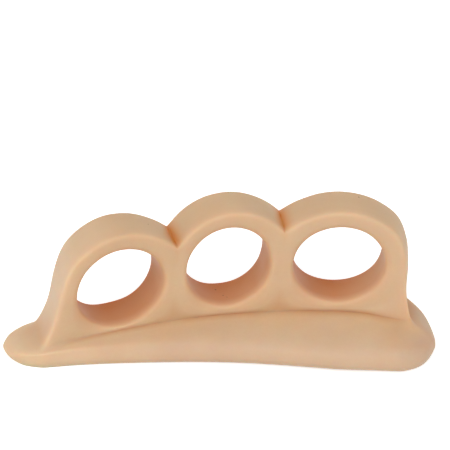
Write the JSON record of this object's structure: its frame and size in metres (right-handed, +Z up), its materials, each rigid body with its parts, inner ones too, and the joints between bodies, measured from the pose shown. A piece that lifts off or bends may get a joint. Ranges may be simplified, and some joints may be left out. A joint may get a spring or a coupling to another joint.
{
  "type": "toe separator",
  "caption": "Soft gel toe separator: a curved row of round toe loops, moulded in one piece with a wedge-shaped pad that lies under the toes.",
  "frame": {"origin": "on the flat underside, straight below the front face of the middle loop", "axes": "+X along the row of loops, towards the broad end of the pad; +Y from the pad's broad front side towards the back of the loops; +Z up, away from the flat underside"},
  "size_m": [0.0851, 0.0265, 0.0291],
  "materials": {
    "toe_separator": "matte, slightly translucent skin-coloured silicone gel"
  },
  "bodies": {
    "root": {"toe_separator": "toe_separator"}
  },
  "joints": []
}
